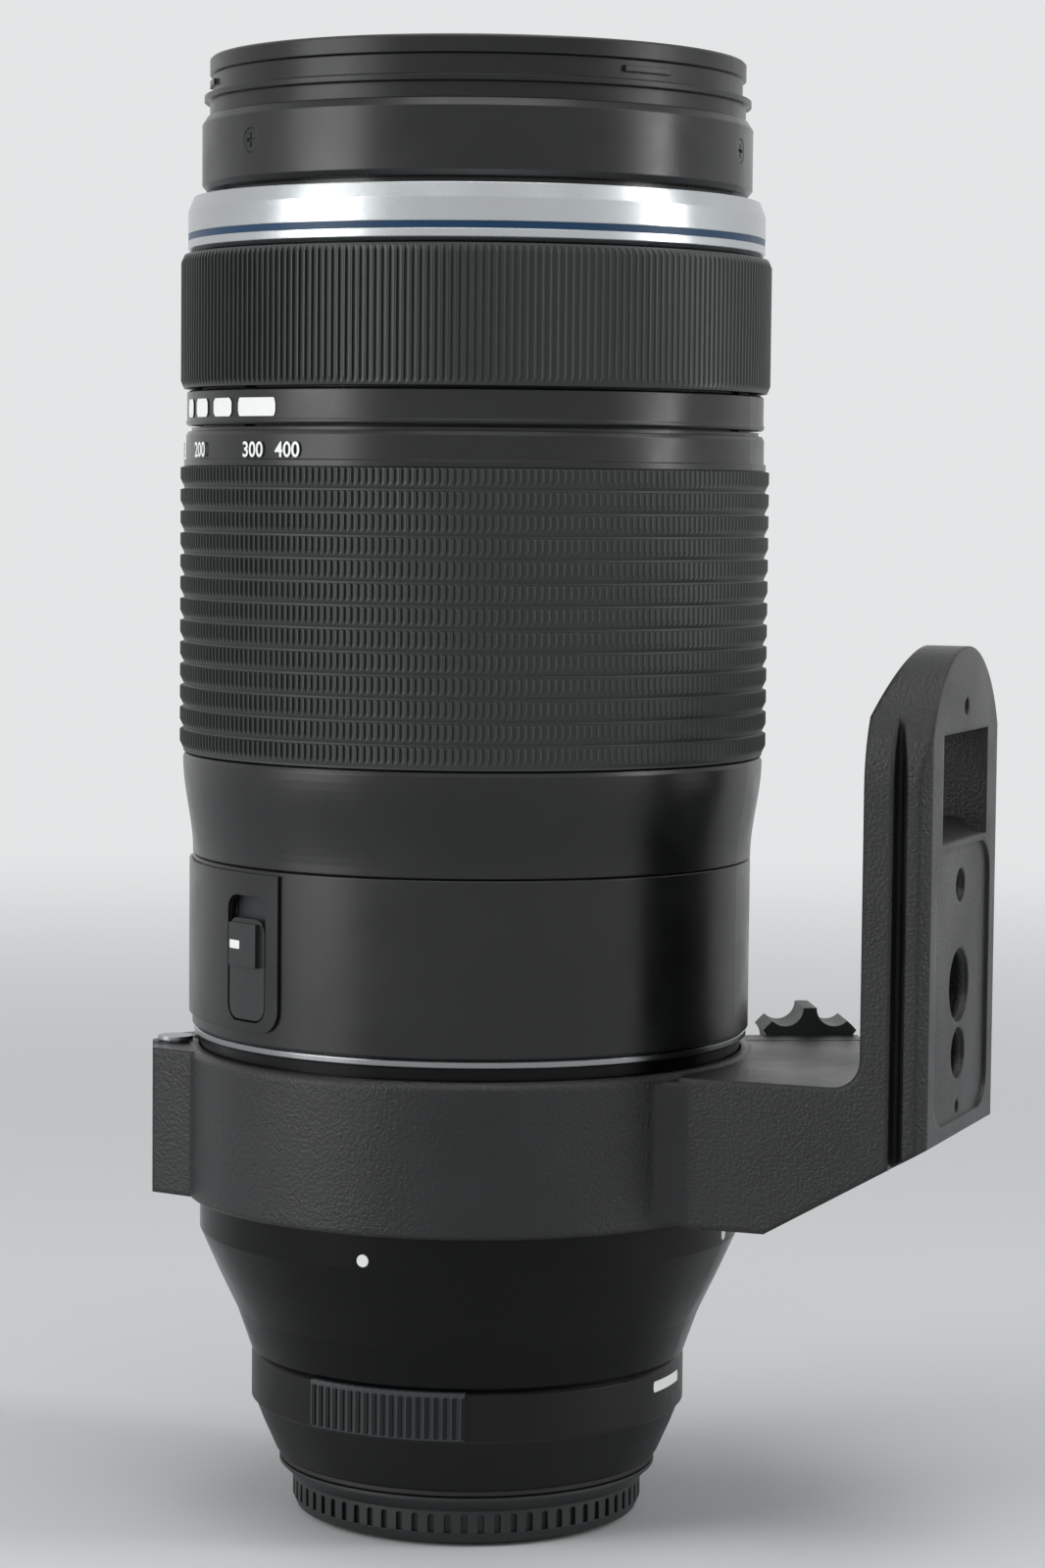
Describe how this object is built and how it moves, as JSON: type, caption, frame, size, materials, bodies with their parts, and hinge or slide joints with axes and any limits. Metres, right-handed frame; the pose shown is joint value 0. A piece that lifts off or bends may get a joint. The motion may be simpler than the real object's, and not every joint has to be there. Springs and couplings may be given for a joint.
{
  "type": "super telephoto zoom lens",
  "caption": "Super telephoto zoom lens with extending barrel, ribbed zoom grip, knurled focus ring, hinged tripod collar with dovetail foot, and rear cap.",
  "frame": {"origin": "centre of the rear cap's outer face, on the optical axis", "axes": "+Z along the optical axis to the front, +X towards the tripod foot"},
  "size_m": [0.121, 0.0882, 0.2136],
  "materials": {
    "mount_metal": "machined",
    "screw_steel": "plated",
    "seal_rubber": "matt",
    "contact_black": "moulded",
    "barrel_black": "satin",
    "cone_black": "semi-gloss",
    "inner_black": "matt",
    "board_green": "solder mask",
    "flex_amber": "film",
    "frame_alloy": "anodised",
    "rod_steel": "ground",
    "cam_alloy": "machined",
    "bright_alloy": "turned",
    "silver_alloy": "satin anodised",
    "blue_enamel": "enamel",
    "white_paint": "gloss",
    "grip_rubber": "ribbed",
    "lens_glass": "coated",
    "collar_paint": "crackle",
    "cap_plastic": "moulded"
  },
  "bodies": {
    "barrel": {"mount_ring": "mount_metal", "mount_screws": "screw_steel", "mount_gasket": "seal_rubber", "contact_block": "contact_black", "rear_skirt": "barrel_black", "rear_baffle": "inner_black", "main_board": "board_green", "flex_circuit": "flex_amber", "tail_barrel": "cone_black", "alignment_dots": "white_paint", "bright_ring": "bright_alloy", "optics_frame": "frame_alloy", "frame_screws": "screw_steel", "rear_cell": "inner_black", "rear_element": "lens_glass", "aperture_unit": "inner_black", "aperture_blades": "inner_black", "guide_rods": "rod_steel", "rod_cap": "frame_alloy", "focus_motor": "rod_steel", "stabiliser_base": "frame_alloy", "main_tube": "frame_alloy", "switch_barrel": "barrel_black", "switch_panel": "barrel_black", "waist_ring": "barrel_black", "index_band": "barrel_black", "silver_ring": "silver_alloy", "blue_band": "blue_enamel", "dust_seal": "seal_rubber"},
    "cap": {"rear_cap": "cap_plastic"},
    "zoom": {"zoom_ring": "frame_alloy", "zoom_grip": "grip_rubber", "number_band": "barrel_black", "drive_key": "screw_steel", "cam_barrel": "cam_alloy"},
    "zoom_group": {"zoom_cell": "inner_black", "zoom_element": "lens_glass"},
    "front": {"extending_barrel": "barrel_black", "cam_pins": "rod_steel", "head_screws": "screw_steel", "front_rim": "cone_black", "name_ring": "inner_black", "front_cell": "inner_black", "front_element": "lens_glass", "second_element": "lens_glass"},
    "focus": {"focus_ring": "barrel_black"},
    "focus_group": {"focus_cell": "inner_black", "focus_element": "lens_glass"},
    "stabiliser_x": {"stabiliser_carriage": "frame_alloy"},
    "stabiliser_y": {"stabiliser_cell": "inner_black", "stabiliser_element": "lens_glass"},
    "switch_focus": {"focus_switch": "contact_black"},
    "switch_limiter": {"limiter_switch": "contact_black"},
    "switch_stabiliser": {"stabiliser_switch": "contact_black"},
    "lock": {"zoom_lock": "contact_black"},
    "collar": {"collar_foot": "collar_paint", "hinge_pin": "screw_steel"},
    "gate": {"collar_gate": "collar_paint"},
    "knob": {"clamp_knob": "cap_plastic", "clamp_screw": "rod_steel"}
  },
  "joints": [
    {"name": "cap_twist", "type": "hinge", "parent": "barrel", "child": "cap", "pos_m": [0, 0, 0.0079], "axis": [0, 0, 1], "range_deg": [0, 45]},
    {"name": "zoom_turn", "type": "hinge", "parent": "barrel", "child": "zoom", "pos_m": [0, 0, 0.133], "axis": [0, 0, 1], "range_deg": [-75, 0]},
    {"name": "zoom_extend", "type": "slide", "parent": "barrel", "child": "front", "axis": [0, 0, 1], "range_m": [0, 0.07]},
    {"name": "zoom_group_slide", "type": "slide", "parent": "barrel", "child": "zoom_group", "axis": [0, 0, 1], "range_m": [0, 0.028]},
    {"name": "focus_turn", "type": "hinge", "parent": "barrel", "child": "focus", "pos_m": [0, 0, 0.175], "axis": [0, 0, 1], "continuous": true},
    {"name": "focus_group_slide", "type": "slide", "parent": "barrel", "child": "focus_group", "axis": [0, 0, 1], "range_m": [0, 0.008]},
    {"name": "stabiliser_shift_x", "type": "slide", "parent": "barrel", "child": "stabiliser_x", "axis": [1, 0, 0], "range_m": [-0.0012, 0.0012], "stiffness_N_per_m": 20},
    {"name": "stabiliser_shift_y", "type": "slide", "parent": "stabiliser_x", "child": "stabiliser_y", "axis": [0, 1, 0], "range_m": [-0.0012, 0.0012], "stiffness_N_per_m": 20},
    {"name": "focus_switch_slide", "type": "slide", "parent": "barrel", "child": "switch_focus", "axis": [0, 0, 1], "range_m": [0, 0.0024]},
    {"name": "limiter_switch_slide", "type": "slide", "parent": "barrel", "child": "switch_limiter", "axis": [0, 0, 1], "range_m": [0, 0.0048]},
    {"name": "stabiliser_switch_slide", "type": "slide", "parent": "barrel", "child": "switch_stabiliser", "axis": [0, 0, 1], "range_m": [0, 0.0024]},
    {"name": "zoom_lock_slide", "type": "slide", "parent": "barrel", "child": "lock", "axis": [0, 0, 1], "range_m": [0, 0.003]},
    {"name": "collar_turn", "type": "hinge", "parent": "barrel", "child": "collar", "pos_m": [0, 0, 0.0586], "axis": [0, 0, 1], "continuous": true},
    {"name": "gate_open", "type": "hinge", "parent": "collar", "child": "gate", "pos_m": [-0.04075, -0.01605, 0.0586], "axis": [0, 0, 1], "range_deg": [0, 90]},
    {"name": "knob_turn", "type": "hinge", "parent": "gate", "child": "knob", "pos_m": [0.04088, 0.03663, 0.06388], "axis": [-0.4384, 0.8988, 0], "continuous": true}
  ],
  "couplings": [
    {"joint": "zoom_extend", "follows": "zoom_turn", "m_per_rad": -0.053476},
    {"joint": "zoom_group_slide", "follows": "zoom_turn", "m_per_rad": -0.02139}
  ]
}
